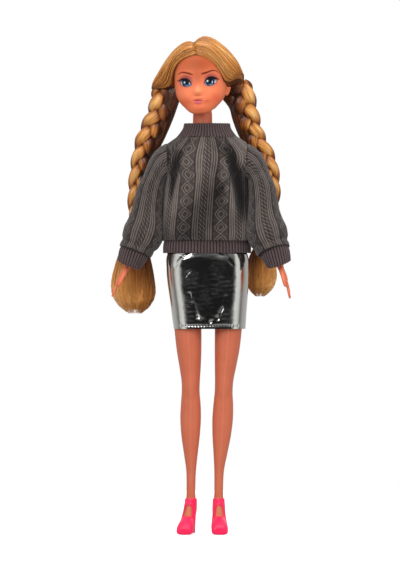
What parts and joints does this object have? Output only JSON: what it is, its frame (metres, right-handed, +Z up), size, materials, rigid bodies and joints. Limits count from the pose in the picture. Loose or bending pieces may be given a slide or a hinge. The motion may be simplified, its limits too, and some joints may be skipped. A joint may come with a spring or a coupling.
{
  "type": "fashion doll",
  "caption": "Standing fashion doll with braided hair, knitted sweater, foil skirt and strap shoes; the head turns, the arms and legs swing",
  "frame": {"origin": "on the floor between the shoes, under the middle of the doll's box", "axes": "+Z up along the body, the doll faces -Y, its left arm is on the +X side"},
  "size_m": [0.1068, 0.0448, 0.2907],
  "materials": {
    "body_vinyl": "soft peach vinyl with a low sheen",
    "head_vinyl": "soft peach vinyl with painted eyes, brows and lips",
    "hair_fibre": "golden blond nylon fibre, combed and glossy",
    "tie_rubber": "thin blond elastic band",
    "sweater_knit": "warm grey cable knit with brown-grey ribbing",
    "hook_tape": "dark hook-and-loop tape",
    "silver_foil": "mirror silver foil coating on cloth, finely crinkled",
    "post_plastic": "hard natural plastic",
    "axle_steel": "plain steel rod with upset ends",
    "shoe_vinyl": "soft hot-pink vinyl, semi-gloss"
  },
  "bodies": {
    "torso": {"torso_front": "body_vinyl", "torso_back": "body_vinyl", "hip_axle": "axle_steel", "neck_post": "post_plastic", "sweater_body": "sweater_knit", "sweater_collar": "sweater_knit", "sweater_hem": "sweater_knit", "sweater_closure": "hook_tape", "skirt": "silver_foil", "skirt_waistband": "silver_foil"},
    "head": {"head": "head_vinyl", "hair_cap": "hair_fibre", "braid_left": "hair_fibre", "braid_right": "hair_fibre", "hair_tie_left": "tie_rubber", "hair_tie_right": "tie_rubber", "hair_tail_left": "hair_fibre", "hair_tail_right": "hair_fibre"},
    "arm_left": {"arm_left": "body_vinyl", "shoulder_peg_left": "post_plastic", "sweater_sleeve_left": "sweater_knit", "sweater_cuff_left": "sweater_knit"},
    "arm_right": {"arm_right": "body_vinyl", "shoulder_peg_right": "post_plastic", "sweater_sleeve_right": "sweater_knit", "sweater_cuff_right": "sweater_knit"},
    "leg_left": {"leg_left": "body_vinyl", "shoe_left": "shoe_vinyl"},
    "leg_right": {"leg_right": "body_vinyl", "shoe_right": "shoe_vinyl"}
  },
  "joints": [
    {"name": "neck_turn", "type": "hinge", "parent": "torso", "child": "head", "pos_m": [0.0009, 0.0006, 0.247], "axis": [0, 0, 1], "range_deg": [-75, 75], "deforming": ["braid_left", "braid_right", "hair_tie_left", "hair_tie_right", "hair_tail_left", "hair_tail_right"]},
    {"name": "shoulder_left", "type": "hinge", "parent": "torso", "child": "arm_left", "pos_m": [0.0218, 0.0006, 0.217], "axis": [-1, 0, 0], "range_deg": [-45, 135]},
    {"name": "shoulder_right", "type": "hinge", "parent": "torso", "child": "arm_right", "pos_m": [-0.0148, 0.0006, 0.217], "axis": [-1, 0, 0], "range_deg": [-45, 135]},
    {"name": "hip_left", "type": "hinge", "parent": "torso", "child": "leg_left", "pos_m": [0.0095, 0.0006, 0.153], "axis": [-1, 0, 0], "range_deg": [-20, 90], "deforming": ["skirt"]},
    {"name": "hip_right", "type": "hinge", "parent": "torso", "child": "leg_right", "pos_m": [-0.0025, 0.0006, 0.153], "axis": [-1, 0, 0], "range_deg": [-20, 90]}
  ]
}
